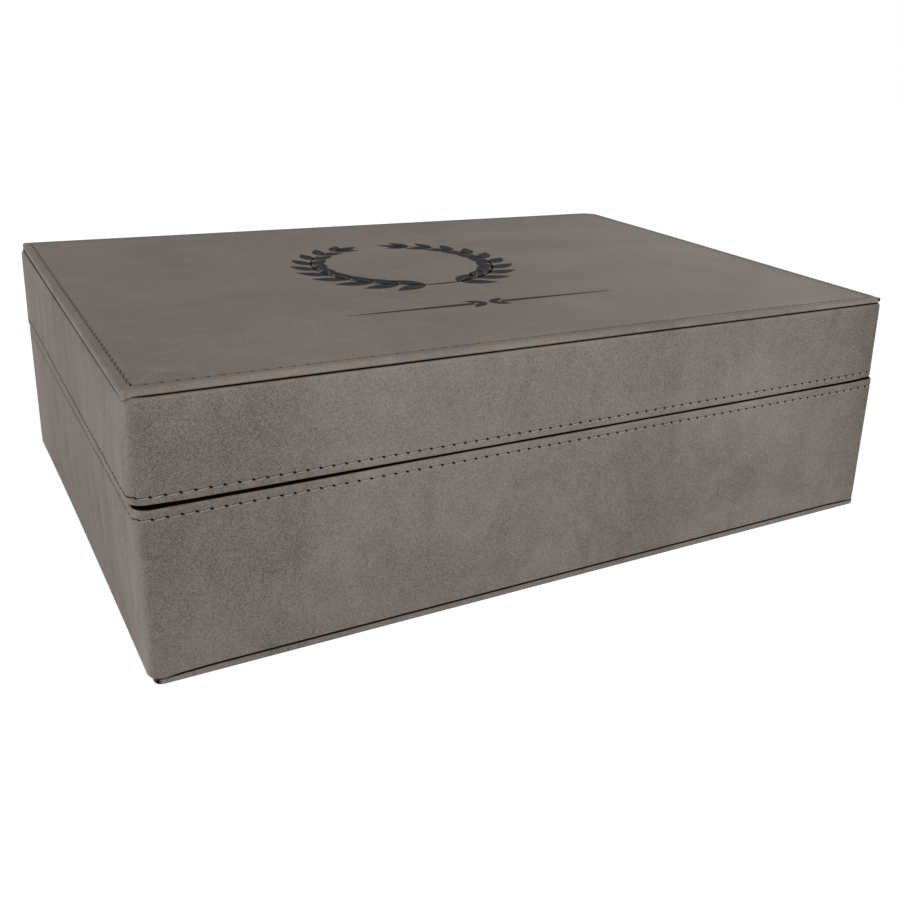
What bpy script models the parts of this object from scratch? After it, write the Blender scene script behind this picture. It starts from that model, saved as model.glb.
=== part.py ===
"""Leatherette gift box: a hinged keepsake box of fibreboard wrapped in stitched leatherette.

Metres, +Z up. The origin is on the ground under the middle of the box. The long front side
faces -Y, and the lid turns on a strip across the back joint at +Y.
"""

import math

import bmesh
import bpy
from mathutils import Vector

MM = 0.001

# Overall size, over the leatherette of the walls
BOX_WIDTH = 312 * MM
BOX_DEPTH = 225 * MM
BOX_HEIGHT = 97 * MM
JOINT_HEIGHT = 60.2 * MM
JOINT_GAP = 0.5 * MM

# Sheet and board thicknesses
WRAP_THICKNESS = 0.6 * MM
GLUE_LINE = 0.3 * MM
WALL_BOARD = 4.0 * MM
DECK_BOARD = 3.0 * MM
LINING_THICKNESS = 0.8 * MM
PAD_THICKNESS = 3.0 * MM
TOP_CARD = 1.4 * MM
BOTTOM_CARD = 1.0 * MM

# Rounding of the wall boards, which the leatherette follows
BOARD_CORNER = 3.6 * MM
BOARD_EDGE = 2.1 * MM
BOARD_RIM = 0.5 * MM
INNER_CORNER = 0.5 * MM

# The leatherette's turn-in past the edges, and the lining, which stops short of the rim
TURN_IN = 12.0 * MM
LINING_DROP = 2.0 * MM
CARD_EDGE = 0.2 * MM
PAD_EDGE = 1.0 * MM

# Thin panels on the top and underneath
TOP_SIDE_INSET = 1.0 * MM
TOP_PANEL_CORNER = 1.2 * MM
TOP_PANEL_EDGE = 0.8 * MM
BOTTOM_SIDE_INSET = 1.5 * MM
BOTTOM_PANEL_CORNER = 1.8 * MM
BOTTOM_PANEL_EDGE = 0.6 * MM

# Magnets in the front rims
MAGNET_LENGTH = 20.0 * MM
MAGNET_WIDTH = 2.0 * MM
MAGNET_HEIGHT = 3.0 * MM
MAGNET_EDGE = 0.2 * MM
MAGNET_SPACING = 190.0 * MM

# Hinge strips across the back joint
STRIP_THICKNESS = 0.6 * MM
STRIP_REACH = 11.0 * MM
STRIP_END_INSET = 7.0 * MM
STRIP_FOLD_GAP = 0.5 * MM
LINER_THICKNESS = 0.5 * MM
LINER_REACH_SHARE = 0.5
LINER_END_INSET = 6.0 * MM
STRIP_EDGE = 0.1 * MM

# How far a cutter runs past the face it opens
OVERRUN = 1.0 * MM

# Faces along a rounded corner and along a rounded edge
CORNER_STEPS = 6
EDGE_STEPS = 3
SHARP_TURN = math.radians(35)
QUARTER_TURN = math.radians(90)

# A rounding is never more than these shares of the sheet or board that carries it
FILLET_LIMIT_SHARE = 0.9
CHAMFER_LIMIT_SHARE = 0.25
PAD_LIMIT_SHARE = 0.4
NEARLY_ONE_SHARE = 0.99

# Heights of the stacks, from the ground up and from the top down
BOTTOM_PANEL = WRAP_THICKNESS + GLUE_LINE + BOTTOM_CARD
BASE_WRAP_FOOT = BOTTOM_PANEL + GLUE_LINE
BASE_BOARD_FOOT = BASE_WRAP_FOOT + WRAP_THICKNESS + GLUE_LINE
BASE_RIM = JOINT_HEIGHT - JOINT_GAP / 2
BASE_BOARD_HEAD = BASE_RIM - WRAP_THICKNESS - GLUE_LINE
FLOOR_TOP = BASE_BOARD_FOOT + DECK_BOARD
FLOOR_PAD_TOP = FLOOR_TOP + GLUE_LINE + PAD_THICKNESS
LID_RIM = JOINT_HEIGHT + JOINT_GAP / 2
LID_BOARD_FOOT = LID_RIM + WRAP_THICKNESS + GLUE_LINE
TOP_PANEL = WRAP_THICKNESS + GLUE_LINE + TOP_CARD
LID_WRAP_HEAD = BOX_HEIGHT - TOP_PANEL - GLUE_LINE
LID_BOARD_HEAD = LID_WRAP_HEAD - WRAP_THICKNESS - GLUE_LINE
DECK_UNDERSIDE = LID_BOARD_HEAD - DECK_BOARD
LID_PAD_UNDERSIDE = DECK_UNDERSIDE - GLUE_LINE - PAD_THICKNESS

# The inner hinge liner goes this far up the lid's clear height, and as far down the base
LINER_REACH = (LID_PAD_UNDERSIDE - JOINT_HEIGHT) * LINER_REACH_SHARE

# Depths of the wall's layers, from its outer face inwards
BOARD_OUTSIDE = WRAP_THICKNESS + GLUE_LINE
BOARD_INSIDE = BOARD_OUTSIDE + WALL_BOARD
TURN_IN_FACE = BOARD_INSIDE + GLUE_LINE + WRAP_THICKNESS
LINING_OUTSIDE = TURN_IN_FACE + GLUE_LINE
LINING_INSIDE = LINING_OUTSIDE + LINING_THICKNESS

# Rounding of the boards, and of the leatherette's outer face over them
BOARD_CORNER_RADIUS = min(BOARD_CORNER, WALL_BOARD * FILLET_LIMIT_SHARE)
BOARD_EDGE_RADIUS = min(BOARD_EDGE, BOARD_CORNER_RADIUS * FILLET_LIMIT_SHARE)
BOARD_RIM_RADIUS = min(BOARD_RIM, BOARD_CORNER_RADIUS * FILLET_LIMIT_SHARE)
CORNER_RADIUS = BOARD_CORNER_RADIUS + BOARD_OUTSIDE
OUTER_EDGE_RADIUS = BOARD_EDGE_RADIUS + BOARD_OUTSIDE
RIM_EDGE_RADIUS = BOARD_RIM_RADIUS + BOARD_OUTSIDE

# Chamfers and roundings of the thin pieces
CARD_CHAMFER = min(CARD_EDGE, LINING_THICKNESS * CHAMFER_LIMIT_SHARE)
PAD_EDGE_RADIUS = min(PAD_EDGE, PAD_THICKNESS * PAD_LIMIT_SHARE)
MAGNET_CHAMFER = min(MAGNET_EDGE, MAGNET_WIDTH * CHAMFER_LIMIT_SHARE)
STRIP_CHAMFER = min(STRIP_EDGE, min(STRIP_THICKNESS, LINER_THICKNESS) * CHAMFER_LIMIT_SHARE)
TOP_PANEL_EDGE_RADIUS = min(TOP_PANEL_EDGE, TOP_CARD * FILLET_LIMIT_SHARE)
BOTTOM_PANEL_EDGE_RADIUS = min(BOTTOM_PANEL_EDGE, BOTTOM_CARD * FILLET_LIMIT_SHARE)

HALF_WIDTH = BOX_WIDTH / 2
HALF_DEPTH = BOX_DEPTH / 2
HINGE_Y = HALF_DEPTH + GLUE_LINE + STRIP_THICKNESS / 2

# The walls stand this far forward of the origin, because the hinge strip adds to the back only
FORWARD = (GLUE_LINE + STRIP_THICKNESS) / 2


def clear_scene():
    for old in list(bpy.data.objects):
        bpy.data.objects.remove(old, do_unlink=True)


def make_material(name, colour, roughness, metallic=0.0):
    material = bpy.data.materials.new(name)
    material.use_nodes = True
    shader = material.node_tree.nodes["Principled BSDF"]
    shader.inputs["Base Color"].default_value = (*colour, 1.0)
    shader.inputs["Roughness"].default_value = roughness
    shader.inputs["Metallic"].default_value = metallic
    return material


def make_collection(name):
    collection = bpy.data.collections.new(name)
    bpy.context.scene.collection.children.link(collection)
    return collection


clear_scene()
PARTS = make_collection("leatherette_gift_box")
CUTTERS = make_collection("cutters")
LEATHERETTE = make_material("leatherette", (0.175, 0.155, 0.142), 0.62)
FIBREBOARD = make_material("fibreboard", (0.42, 0.29, 0.18), 0.85)
CARD = make_material("card", (0.33, 0.32, 0.30), 0.9)
FLOCK = make_material("flocked_lining", (0.012, 0.012, 0.013), 0.95)
MAGNET = make_material("magnet", (0.55, 0.55, 0.56), 0.35, 1.0)


def in_frame(place):
    """A place measured from the middle of the walls, turned into a place in the part's frame."""
    return Vector(place) - Vector((0, FORWARD, 0))


def make_pivot(name, place):
    pivot = bpy.data.objects.new(name, None)
    pivot.location = place
    PARTS.objects.link(pivot)
    return pivot


def add_object(name, mesh, material, place, pivot, collection):
    """Link a mesh whose own origin belongs at place, measured from the middle of the walls."""
    mesh.materials.append(material)
    piece = bpy.data.objects.new(name, mesh)
    piece.parent = pivot
    piece.location = in_frame(place) - pivot.location
    collection.objects.link(piece)
    return piece


def block_mesh(size):
    """A box of the given size, centred on its own origin."""
    work = bmesh.new()
    bmesh.ops.create_cube(work, size=1)
    bmesh.ops.scale(work, vec=size, verts=work.verts)
    return work


def finish_mesh(name, work):
    mesh = bpy.data.meshes.new(name)
    work.to_mesh(mesh)
    work.free()
    mesh.shade_smooth()
    mesh.set_sharp_from_angle(angle=SHARP_TURN)
    return mesh


def round_edges(work, edges, radius, steps):
    bmesh.ops.bevel(work, geom=edges, offset=radius, segments=steps, profile=0.5, affect="EDGES")


def edges_on(work, *tests):
    """The edges whose both ends pass every test."""
    return [edge for edge in work.edges if all(test(v.co) for v in edge.verts for test in tests)]


def upright_edges(work):
    return [edge for edge in work.edges if edge.verts[0].co.xy == edge.verts[1].co.xy]


def add_block(name, low, high, material, pivot, radius=0.0, steps=1, collection=PARTS):
    """A box between two corners, with its edges chamfered or rounded if a radius is given."""
    low, high = Vector(low), Vector(high)
    work = block_mesh(high - low)
    if radius:
        round_edges(work, list(work.edges), radius, steps)
    return add_object(name, finish_mesh(name, work), material, (low + high) / 2, pivot, collection)


def cut(piece, cutter):
    cutter.hide_render = True
    cutter.display_type = "WIRE"
    tool = piece.modifiers.new("cut_" + cutter.name, "BOOLEAN")
    tool.operation = "DIFFERENCE"
    tool.object = cutter
    tool.solver = "EXACT"


def rounded_loop(work, inset, height, corner):
    """One closed outline, a rounded rectangle inset from the wall's outer face."""
    half_x = HALF_WIDTH - inset - corner
    half_y = HALF_DEPTH - inset - corner
    loop = []
    for quarter, (side_x, side_y) in enumerate(((1, 1), (-1, 1), (-1, -1), (1, -1))):
        for step in range(CORNER_STEPS + 1):
            turn = QUARTER_TURN * (quarter + step / CORNER_STEPS)
            place = (
                side_x * half_x + corner * math.cos(turn),
                side_y * half_y + corner * math.sin(turn),
                height,
            )
            loop.append(work.verts.new(place))
    return loop


def arc_points(centre, radius, start_turn, end_turn):
    """Points of an arc in the section of a wall: inset from the outer face, and height."""
    points = []
    for step in range(EDGE_STEPS + 1):
        turn = start_turn + (end_turn - start_turn) * step / EDGE_STEPS
        points.append((centre[0] - radius * math.cos(turn), centre[1] + radius * math.sin(turn)))
    return points


def wrap_section(panel_side, rim, direction):
    """Outer face of the wrap: under the panel, up the wall, over the rim and down inside.

    The direction is +1 where the rim is above the panel side, as on the base, and -1 on the lid.
    """
    outer = (OUTER_EDGE_RADIUS, panel_side + direction * OUTER_EDGE_RADIUS)
    rim_outside = (RIM_EDGE_RADIUS, rim - direction * RIM_EDGE_RADIUS)
    rim_inside = (TURN_IN_FACE - RIM_EDGE_RADIUS, rim - direction * RIM_EDGE_RADIUS)
    section = [(TURN_IN, panel_side)]
    section += arc_points(outer, OUTER_EDGE_RADIUS, -direction * QUARTER_TURN, 0)
    section += arc_points(rim_outside, RIM_EDGE_RADIUS, 0, direction * QUARTER_TURN)
    half_turn = 2 * direction * QUARTER_TURN
    section += arc_points(rim_inside, RIM_EDGE_RADIUS, direction * QUARTER_TURN, half_turn)
    section.append((TURN_IN_FACE, rim - direction * TURN_IN))
    return section


def add_wrap(name, panel_side, rim, direction, pivot):
    """A leatherette skin lofted round the four walls through rounded outlines."""
    work = bmesh.new()
    loops = []
    for inset, height in wrap_section(panel_side, rim, direction):
        corner = max(CORNER_RADIUS - inset, INNER_CORNER)
        loops.append(rounded_loop(work, inset, height, corner))
    count = len(loops[0])
    for lower, upper in zip(loops, loops[1:]):
        for index in range(count):
            following = (index + 1) % count
            work.faces.new((lower[index], lower[following], upper[following], upper[index]))
    if direction < 0:
        bmesh.ops.reverse_faces(work, faces=work.faces)
    bmesh.ops.translate(work, verts=work.verts, vec=(0, 0, -rim))
    piece = add_object(name, finish_mesh(name, work), LEATHERETTE, (0, 0, rim), pivot, PARTS)
    skin = piece.modifiers.new("thickness", "SOLIDIFY")
    skin.thickness = WRAP_THICKNESS
    skin.offset = -1
    skin.use_even_offset = True
    return piece


def wall_board_mesh(size, out_axis, way, direction):
    """One wall board, centred: rounded where the leatherette turns over its outer edges.

    It faces out along out_axis, the way of the sign given. A long board faces out along Y, and
    carries the box's upright corners at its two ends.
    """
    work = block_mesh(size)
    half_out = size[out_axis] / 2 * NEARLY_ONE_SHARE
    half_high = size[2] / 2 * NEARLY_ONE_SHARE
    long_board = out_axis == 1

    def outside(v):
        return v[out_axis] * way > half_out

    def inside(v):
        return v[out_axis] * way < -half_out

    def panel_end(v):
        return -v.z * direction > half_high

    def rim_end(v):
        return v.z * direction > half_high

    if long_board:
        corners = [edge for edge in upright_edges(work) if all(outside(v.co) for v in edge.verts)]
        round_edges(work, corners, BOARD_CORNER_RADIUS, CORNER_STEPS)
    for end, radius in ((panel_end, BOARD_EDGE_RADIUS), (rim_end, BOARD_RIM_RADIUS)):
        outline = edges_on(work, end)
        if long_board:
            outline = [edge for edge in outline if not all(inside(v.co) for v in edge.verts)]
        else:
            outline = edges_on(work, end, outside)
        round_edges(work, outline, radius, EDGE_STEPS)
    return work


def add_wall_boards(prefix, panel_side, rim, direction, pivot):
    """Four butt-jointed boards: the long ones run through, the short ones stand between them."""
    middle = (panel_side + rim) / 2
    height = abs(rim - panel_side)
    through_width = BOX_WIDTH - 2 * BOARD_OUTSIDE
    between_depth = BOX_DEPTH - 2 * (BOARD_INSIDE + GLUE_LINE)
    board_x = HALF_WIDTH - BOARD_OUTSIDE - WALL_BOARD / 2
    board_y = HALF_DEPTH - BOARD_OUTSIDE - WALL_BOARD / 2
    walls = (
        ("front", (through_width, WALL_BOARD, height), (0, -board_y, middle), 1, -1),
        ("back", (through_width, WALL_BOARD, height), (0, board_y, middle), 1, 1),
        ("left", (WALL_BOARD, between_depth, height), (-board_x, 0, middle), 0, -1),
        ("right", (WALL_BOARD, between_depth, height), (board_x, 0, middle), 0, 1),
    )
    boards = {}
    for side, size, place, out_axis, way in walls:
        name = prefix + "_" + side + "_board"
        mesh = finish_mesh(name, wall_board_mesh(size, out_axis, way, direction))
        boards[side] = add_object(name, mesh, FIBREBOARD, place, pivot, PARTS)
    return boards


def add_magnets(prefix, front_board, board_rim, direction, pivot):
    """Two bar magnets in blind slots that open at the front board's rim."""
    slot_y = -(HALF_DEPTH - BOARD_OUTSIDE - WALL_BOARD / 2)
    for side, sign in (("left", -1), ("right", 1)):
        centre_x = sign * MAGNET_SPACING / 2
        mouth = board_rim + direction * OVERRUN
        floor = board_rim - direction * (MAGNET_HEIGHT + 2 * GLUE_LINE)
        slot_half = (MAGNET_LENGTH / 2 + GLUE_LINE, MAGNET_WIDTH / 2 + GLUE_LINE)
        slot = add_block(
            prefix + "_slot_" + side,
            (centre_x - slot_half[0], slot_y - slot_half[1], min(mouth, floor)),
            (centre_x + slot_half[0], slot_y + slot_half[1], max(mouth, floor)),
            FIBREBOARD, pivot, collection=CUTTERS,
        )
        cut(front_board, slot)
        outer_end = board_rim - direction * GLUE_LINE
        inner_end = outer_end - direction * MAGNET_HEIGHT
        add_block(
            prefix + "_magnet_" + side,
            (centre_x - MAGNET_LENGTH / 2, slot_y - MAGNET_WIDTH / 2, min(outer_end, inner_end)),
            (centre_x + MAGNET_LENGTH / 2, slot_y + MAGNET_WIDTH / 2, max(outer_end, inner_end)),
            MAGNET, pivot, MAGNET_CHAMFER,
        )


def add_linings(prefix, low, high, pivot):
    """Four flocked cards on the walls: the long ones run through, the short ones between them."""
    outside_x = HALF_WIDTH - LINING_OUTSIDE
    inside_x = HALF_WIDTH - LINING_INSIDE
    outside_y = HALF_DEPTH - LINING_OUTSIDE
    inside_y = HALF_DEPTH - LINING_INSIDE
    short_y = inside_y - GLUE_LINE
    boxes = {
        "front": ((-outside_x, -outside_y), (outside_x, -inside_y)),
        "left": ((-outside_x, -short_y), (-inside_x, short_y)),
        "right": ((inside_x, -short_y), (outside_x, short_y)),
        "back": ((-outside_x, inside_y), (outside_x, outside_y)),
    }
    for side, (near, far) in boxes.items():
        add_block(
            prefix + "_" + side + "_lining", (*near, low), (*far, high), FLOCK, pivot, CARD_CHAMFER
        )


def add_panel(name, card_name, half_x, half_y, outer_face, inner_face, corner, edge, pivot):
    """A thin card in a leatherette tray. The tray is open towards the box."""
    direction = 1 if outer_face > inner_face else -1
    height = abs(outer_face - inner_face)
    work = block_mesh((2 * half_x, 2 * half_y, height))
    round_edges(work, upright_edges(work), corner, CORNER_STEPS)
    open_side = [face for face in work.faces if face.normal.z * direction < -NEARLY_ONE_SHARE]
    bmesh.ops.delete(work, geom=open_side, context="FACES_ONLY")

    def at_outer_face(v):
        return v.z * direction > height / 2 * NEARLY_ONE_SHARE

    round_edges(work, edges_on(work, at_outer_face), edge, EDGE_STEPS)
    middle = (outer_face + inner_face) / 2
    cover = add_object(name, finish_mesh(name, work), LEATHERETTE, (0, 0, middle), pivot, PARTS)
    skin = cover.modifiers.new("thickness", "SOLIDIFY")
    skin.thickness = WRAP_THICKNESS
    skin.offset = -1
    skin.use_even_offset = True

    inset = WRAP_THICKNESS + GLUE_LINE
    card_outer = outer_face - direction * inset
    card_height = abs(card_outer - inner_face)
    card = block_mesh((2 * (half_x - inset), 2 * (half_y - inset), card_height))
    round_edges(card, upright_edges(card), max(corner - inset, CARD_CHAMFER), EDGE_STEPS)
    card_middle = (card_outer + inner_face) / 2
    add_object(card_name, finish_mesh(card_name, card), CARD, (0, 0, card_middle), pivot, PARTS)


def add_base(pivot):
    add_panel(
        "bottom_cover", "bottom_board", HALF_WIDTH - BOTTOM_SIDE_INSET, HALF_DEPTH,
        0.0, BOTTOM_PANEL, BOTTOM_PANEL_CORNER, BOTTOM_PANEL_EDGE_RADIUS, pivot,
    )
    add_wrap("base_wrap", BASE_WRAP_FOOT, BASE_RIM, 1, pivot)
    boards = add_wall_boards("base", BASE_BOARD_FOOT, BASE_BOARD_HEAD, 1, pivot)
    add_magnets("base", boards["front"], BASE_BOARD_HEAD, 1, pivot)
    deck_x = HALF_WIDTH - BOARD_INSIDE - GLUE_LINE
    deck_y = HALF_DEPTH - BOARD_INSIDE - GLUE_LINE
    add_block(
        "base_floor_board", (-deck_x, -deck_y, BASE_BOARD_FOOT), (deck_x, deck_y, FLOOR_TOP),
        FIBREBOARD, pivot, CARD_CHAMFER,
    )
    add_linings("base", FLOOR_TOP + GLUE_LINE, BASE_RIM - LINING_DROP, pivot)
    pad_x = HALF_WIDTH - LINING_INSIDE - GLUE_LINE
    pad_y = HALF_DEPTH - LINING_INSIDE - GLUE_LINE
    add_block(
        "base_floor_pad", (-pad_x, -pad_y, FLOOR_TOP + GLUE_LINE), (pad_x, pad_y, FLOOR_PAD_TOP),
        FLOCK, pivot, PAD_EDGE_RADIUS, EDGE_STEPS,
    )


def add_lid(pivot):
    add_panel(
        "top_panel_cover", "top_panel_board",
        HALF_WIDTH - TOP_SIDE_INSET, HALF_DEPTH - TOP_SIDE_INSET,
        BOX_HEIGHT, BOX_HEIGHT - TOP_PANEL, TOP_PANEL_CORNER, TOP_PANEL_EDGE_RADIUS, pivot,
    )
    add_wrap("lid_wrap", LID_WRAP_HEAD, LID_RIM, -1, pivot)
    boards = add_wall_boards("lid", LID_BOARD_HEAD, LID_BOARD_FOOT, -1, pivot)
    add_magnets("lid", boards["front"], LID_BOARD_FOOT, -1, pivot)
    deck_x = HALF_WIDTH - BOARD_INSIDE - GLUE_LINE
    deck_y = HALF_DEPTH - BOARD_INSIDE - GLUE_LINE
    add_block(
        "lid_top_board", (-deck_x, -deck_y, DECK_UNDERSIDE), (deck_x, deck_y, LID_BOARD_HEAD),
        FIBREBOARD, pivot, CARD_CHAMFER,
    )
    add_linings("lid", LID_RIM + LINING_DROP, DECK_UNDERSIDE - GLUE_LINE, pivot)
    pad_x = HALF_WIDTH - LINING_INSIDE - GLUE_LINE
    pad_y = HALF_DEPTH - LINING_INSIDE - GLUE_LINE
    add_block(
        "lid_pad", (-pad_x, -pad_y, LID_PAD_UNDERSIDE), (pad_x, pad_y, DECK_UNDERSIDE - GLUE_LINE),
        FLOCK, pivot, PAD_EDGE_RADIUS, EDGE_STEPS,
    )


def add_hinge(base_pivot, lid_pivot):
    """The outer strip and the inner liner, each split where it folds on the hinge axis."""
    strip_x = HALF_WIDTH - STRIP_END_INSET
    strip_near = HALF_DEPTH + GLUE_LINE
    strip_far = strip_near + STRIP_THICKNESS
    liner_x = HALF_WIDTH - LINING_INSIDE - LINER_END_INSET
    liner_far = HALF_DEPTH - LINING_INSIDE - GLUE_LINE
    liner_near = liner_far - LINER_THICKNESS
    for end, pivot, way in (("base", base_pivot, -1), ("lid", lid_pivot, 1)):
        heights = sorted((JOINT_HEIGHT + way * STRIP_FOLD_GAP, JOINT_HEIGHT + way * STRIP_REACH))
        add_block(
            "hinge_strip_" + end, (-strip_x, strip_near, heights[0]), (strip_x, strip_far, heights[1]),
            LEATHERETTE, pivot, STRIP_CHAMFER,
        )
        heights = sorted((JOINT_HEIGHT + way * STRIP_FOLD_GAP, JOINT_HEIGHT + way * LINER_REACH))
        add_block(
            "hinge_liner_" + end, (-liner_x, liner_near, heights[0]), (liner_x, liner_far, heights[1]),
            FLOCK, pivot, STRIP_CHAMFER,
        )


def main():
    base_pivot = make_pivot("base_origin", (0, 0, 0))
    lid_pivot = make_pivot("lid_hinge_axis", in_frame((0, HINGE_Y, JOINT_HEIGHT)))
    add_base(base_pivot)
    add_lid(lid_pivot)
    add_hinge(base_pivot, lid_pivot)


main()
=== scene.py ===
"""Looks of the leatherette gift box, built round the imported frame. Metres, +Z up, front at -Y."""

import math
from collections import namedtuple

import bmesh
import bpy
from mathutils import Matrix, Vector, noise


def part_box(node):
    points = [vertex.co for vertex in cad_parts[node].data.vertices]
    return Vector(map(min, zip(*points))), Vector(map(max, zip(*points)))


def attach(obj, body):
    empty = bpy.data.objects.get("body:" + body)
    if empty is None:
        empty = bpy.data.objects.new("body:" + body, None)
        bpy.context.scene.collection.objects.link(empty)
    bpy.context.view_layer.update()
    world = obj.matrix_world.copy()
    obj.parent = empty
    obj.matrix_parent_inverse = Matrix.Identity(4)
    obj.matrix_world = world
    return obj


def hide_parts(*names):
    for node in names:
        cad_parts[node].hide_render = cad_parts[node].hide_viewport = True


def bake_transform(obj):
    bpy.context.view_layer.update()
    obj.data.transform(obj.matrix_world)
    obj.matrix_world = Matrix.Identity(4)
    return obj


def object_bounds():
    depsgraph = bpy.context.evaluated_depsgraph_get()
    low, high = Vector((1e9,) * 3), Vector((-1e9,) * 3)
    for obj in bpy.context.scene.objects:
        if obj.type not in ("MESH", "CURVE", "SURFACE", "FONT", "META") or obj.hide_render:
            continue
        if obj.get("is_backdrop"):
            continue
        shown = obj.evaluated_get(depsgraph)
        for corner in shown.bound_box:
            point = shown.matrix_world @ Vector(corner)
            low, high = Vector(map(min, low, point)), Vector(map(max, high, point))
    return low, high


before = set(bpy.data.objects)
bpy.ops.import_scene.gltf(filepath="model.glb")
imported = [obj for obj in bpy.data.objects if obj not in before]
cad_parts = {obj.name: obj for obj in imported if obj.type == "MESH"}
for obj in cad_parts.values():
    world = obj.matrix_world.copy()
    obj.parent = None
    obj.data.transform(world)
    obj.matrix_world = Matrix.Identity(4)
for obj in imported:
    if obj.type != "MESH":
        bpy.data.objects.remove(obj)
CAD_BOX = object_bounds()

MM = 0.001

# Camera matched to the photograph: frame of 900 pixels, optical centre a little off the middle
FRAME_PIXELS = 900
OPTICAL_CENTRE = (540, 400)
FOCAL_PIXELS = 1048.5
SENSOR_WIDTH = 36.0
CAMERA_PLACE = Vector((-205.43, -406.62, 196.27)) * MM
CAMERA_PITCH = math.radians(70.786)
CAMERA_YAW = math.radians(-32.533)
CAMERA_ROLL = math.radians(2.874)
CAMERA_NEAR_LIMIT = 10 * MM

# Boxes of the CAD nodes that the looks are fitted to
LID_LOW, LID_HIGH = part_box("lid_wrap")
BASE_LOW, BASE_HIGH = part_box("base_wrap")
PANEL_LOW, PANEL_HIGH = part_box("top_panel_cover")
FOOT_LOW, FOOT_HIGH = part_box("bottom_cover")
STRIP_LOW, STRIP_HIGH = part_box("hinge_strip_base")[0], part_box("hinge_strip_lid")[1]
LINER_LOW, LINER_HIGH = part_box("hinge_liner_base")[0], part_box("hinge_liner_lid")[1]
MIDDLE_Y = (LID_LOW.y + LID_HIGH.y) / 2
HALF_X = (LID_HIGH.x - LID_LOW.x) / 2
HALF_Y = (LID_HIGH.y - LID_LOW.y) / 2
JOINT_Z = (LID_LOW.z + BASE_HIGH.z) / 2
HINGE_Y = (STRIP_LOW.y + STRIP_HIGH.y) / 2

# The skin over the walls. Its roundings are a little softer at the corners than the boards'
SKIN = 0.6 * MM
CORNER = 5.3 * MM
INNER_CORNER = 0.5 * MM
INNER_CORNER_GROWTH = 0.4
LID_TOP_EDGE = 1.4 * MM
BASE_FOOT_EDGE = 1.0 * MM
FOOT_LIFT = 0.5 * MM
RIM_EDGE = 0.9 * MM
TURN_IN_FACE = 5.8 * MM
TURN_IN = 12.0 * MM
TURN_IN_ROW = 4 * MM
ARC_STEPS = 5
PLAIN_ROW_START = 2.0 * MM
PLAIN_ROW_STEP = 4 * MM
SHARP_ANGLE = math.radians(50)

# Sewing: one stitch runs from its needle hole up to the next one
WALL_STITCHES = 248
PANEL_STITCHES = 241
LID_FIRST_HOLE = 0.85 * MM
BASE_FIRST_HOLE = -0.1 * MM
PANEL_FIRST_HOLE = 2.0 * MM
LID_ROW = 2.95 * MM
BASE_ROW = 3.05 * MM
PANEL_ROW = 3.4 * MM
HOLE_HALF_LENGTH = 0.62 * MM
HOLE_HALF_HEIGHT = 0.45 * MM
HOLE_SLANT = 0.35
HOLE_DEPTH = 0.45 * MM
HOLE_WALL = (0.7, 1.0)
CHANNEL_START = -0.46 * MM
CHANNEL_END = 0.02 * MM
CHANNEL_DEPTH = 0.26 * MM
CHANNEL_WIDTH = 0.32 * MM
CHANNEL_BEGINS = (0.02, 0.2)
SHADE_ABOVE = 0.22 * MM
SHADE_WIDTH = 0.24 * MM
PUFF = 0.12 * MM
PUFF_DISTANCE = 0.95 * MM
PUFF_WIDTH = 0.5 * MM
BAND_ROWS = (0.0, 0.20, 0.40, 0.62, 1.0)
STITCH_COLUMNS = (0.0, 0.24, 0.48, 0.72, 1.1)
THREAD_RADIUS = 0.15 * MM
THREAD_SIDES = 6
THREAD_ASIDE = Vector((0.3, 0.2, 1))

# Painted shade in the rims' gap, crevices, creases, seam and groove: how dark, 0 to 1, and over which share
# of an edge's turn it sets in
RIM_SHADE = 1.0
CREVICE_SHADE = 1.0
CREASE_SHADE = 0.42
SEAM_SHADE = 0.45
PANEL_LOW_SHADE = 0.4
FOOT_TOP_SHADE = 0.3
GROOVE_SHADE = 0.3
SHADE_TURN = (0.28, 0.85)
LID_RIM_SHADE_TURN = (0.2, 0.7)
BASE_RIM_SHADE_TURN = (0.0, 0.4)
CREVICE_SHADE_TURN = (0.4, 0.95)

# Painted light and shade beside the upright corners: the ends are painted a little paler, and the long sides
# a little deeper
END_TURN = (0.5, 0.95)
PALER_REACH = 22 * MM
PALER_SHARE = 1.15
DEEPER_REACH = 13 * MM

# Lapped seam of the wrap at the middle of the back
SEAM_COLUMNS = (-0.9, -0.35, 0.0, 0.3)
SEAM_DEPTH = 0.16 * MM

# The lid sits a hair to the left of the base, and the two rims part towards the front corners
LID_SHIFT = -0.45 * MM
BASE_SHIFT = 0.45 * MM
LID_RIM_LEFT = (-0.95 * MM, -0.30 * MM)
LID_TOP_LEFT = (-0.95 * MM, 0.15 * MM)
PANEL_LEFT = (-1.30 * MM, 0.25 * MM)
BASE_RIM_LEFT = (0.05 * MM, -0.05 * MM)
BASE_FOOT_LEFT = (0.72 * MM, -0.35 * MM)
RIM_BOW_REACH = 14.0 * MM
RIM_EAR_REACH = 4.0 * MM
LEAN_REACH = 40.0 * MM
LID_RIGHT = (0.2 * MM, -0.2 * MM)
BASE_RIGHT = (0.3 * MM, 0.6 * MM)
BASE_LEFT_BOW = (4.0, 1.0)

# A row of a skin's section: its place, its way out, its distance from the stitches, and its marks: how much
# painted shade, and how much rub with painted highlight
Row = namedtuple("Row", "inset height out up across fine dark wear", defaults=(None, False, 0.0, 0.0))


def smooth(value, low, high):
    """0 at low and before, 1 at high and after, with an even turn between."""
    share = min(1.0, max(0.0, (value - low) / (high - low)))
    return share * share * (3 - 2 * share)


def fade(value, low, high):
    """1 at low and before, 0 at high and after."""
    return 1 - smooth(value, low, high)


def eased(value, amount, low, high):
    """None of the amount at low and before, all of it at high and after."""
    return amount * smooth(value, low, high)


def gathered(distance, amount, reach):
    """All of the amount at a place, less and less of it further away."""
    return amount * bell(distance, reach)


def bell(value, width):
    return math.exp(-((value / width) ** 2))


def mix(a, b, share):
    return a + (b - a) * share


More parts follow.
